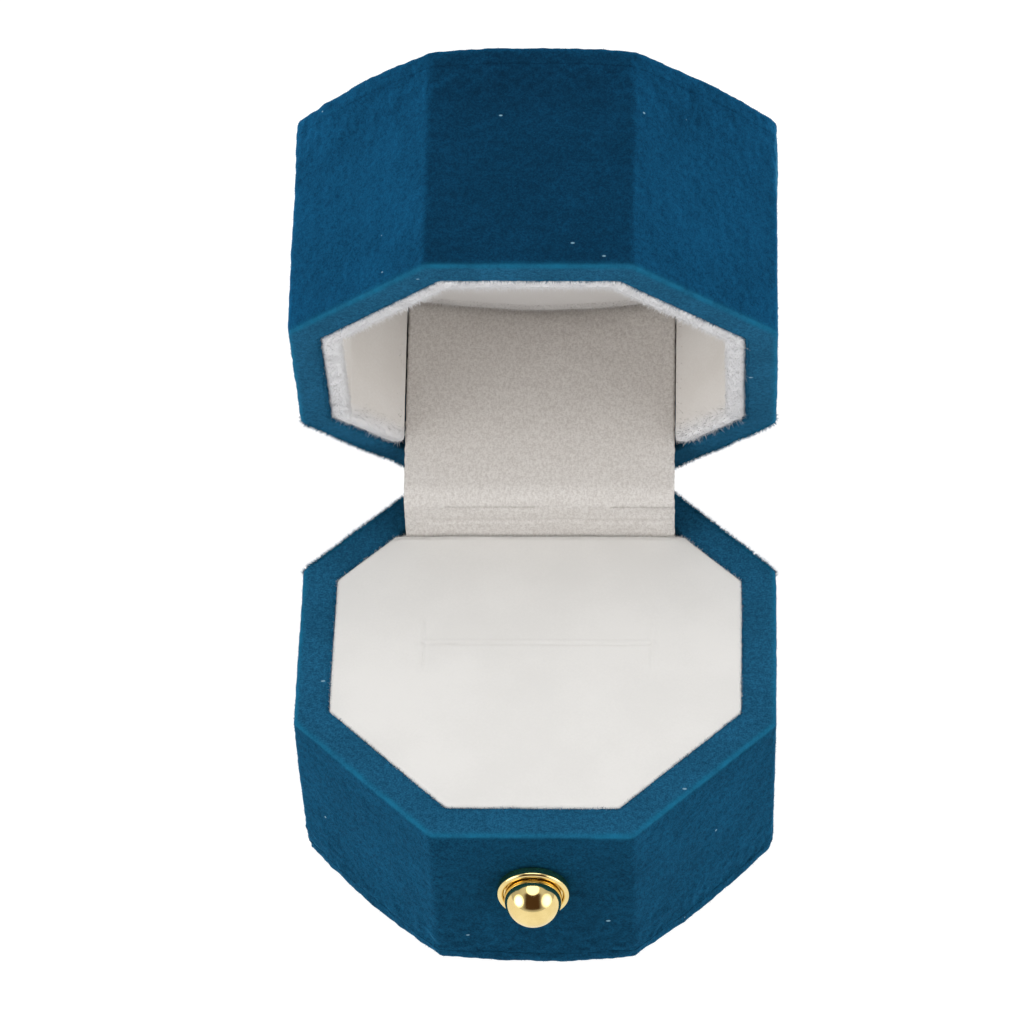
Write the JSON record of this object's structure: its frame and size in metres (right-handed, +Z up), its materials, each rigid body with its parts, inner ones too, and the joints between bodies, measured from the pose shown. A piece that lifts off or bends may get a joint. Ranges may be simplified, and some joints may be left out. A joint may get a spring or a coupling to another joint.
{
  "type": "ring box",
  "caption": "Octagonal velvet ring box, standing open: hinged lid with padded lining, slotted ring cushion, suede flap over a sprung hinge, and a ball stud on the front.",
  "frame": {"origin": "centre of the underside of the base", "axes": "+Z up, -Y towards the front with the ball stud, +Y towards the hinge, +X to the right"},
  "size_m": [0.054, 0.0831, 0.081],
  "materials": {
    "shell_board": "moulded, unpainted",
    "teal_velvet": "short-pile velvet",
    "white_velvet": "short-pile velvet",
    "grey_suede": "suede-like",
    "card": "grey-brown board",
    "foam": "open-cell foam",
    "hinge_steel": "copper-flashed",
    "gold_brass": "polished, gold-plated"
  },
  "bodies": {
    "base": {"base_shell": "shell_board", "base_velvet_wrap": "teal_velvet", "base_bottom_board": "card", "base_bottom_velvet": "teal_velvet", "cushion_riser": "card", "cushion_board": "card", "cushion_foam_front": "foam", "cushion_foam_rear": "foam", "cushion_velvet": "white_velvet", "hinge_base_leaf": "hinge_steel", "hinge_base_rivets": "hinge_steel", "hinge_pin": "hinge_steel", "stud_ball": "gold_brass", "stud_collar": "gold_brass", "stud_washer": "gold_brass", "stud_nut": "gold_brass"},
    "spring": {"hinge_spring": "hinge_steel"},
    "flap": {"flap_board_lower": "card"},
    "lid": {"lid_shell": "shell_board", "lid_velvet_wrap": "teal_velvet", "lid_top_board": "card", "lid_top_velvet": "teal_velvet", "lid_lining_board": "card", "lid_lining_velvet": "white_velvet", "ceiling_board": "card", "ceiling_foam": "foam", "ceiling_fabric": "white_velvet", "hinge_lid_leaf": "hinge_steel", "hinge_lid_rivets": "hinge_steel", "flap_board_upper": "card", "flap_blocks": "foam", "flap_suede": "grey_suede"}
  },
  "joints": [
    {"name": "lid_hinge", "type": "hinge", "parent": "base", "child": "lid", "pos_m": [0, 0.02495, 0.024], "axis": [1, 0, 0], "range_deg": [0, 75]},
    {"name": "spring_rock", "type": "hinge", "parent": "base", "child": "spring", "pos_m": [0, 0.02245, 0.017], "axis": [1, 0, 0], "range_deg": [0, 37.5]},
    {"name": "flap_fold", "type": "hinge", "parent": "lid", "child": "flap", "pos_m": [0, 0.0184, 0.02903], "axis": [1, 0, 0], "range_deg": [-75, 0], "deforming": ["flap_suede"]}
  ],
  "couplings": [
    {"joint": "spring_rock", "follows": "lid_hinge", "ratio": 0.5},
    {"joint": "flap_fold", "follows": "lid_hinge", "ratio": -1}
  ]
}
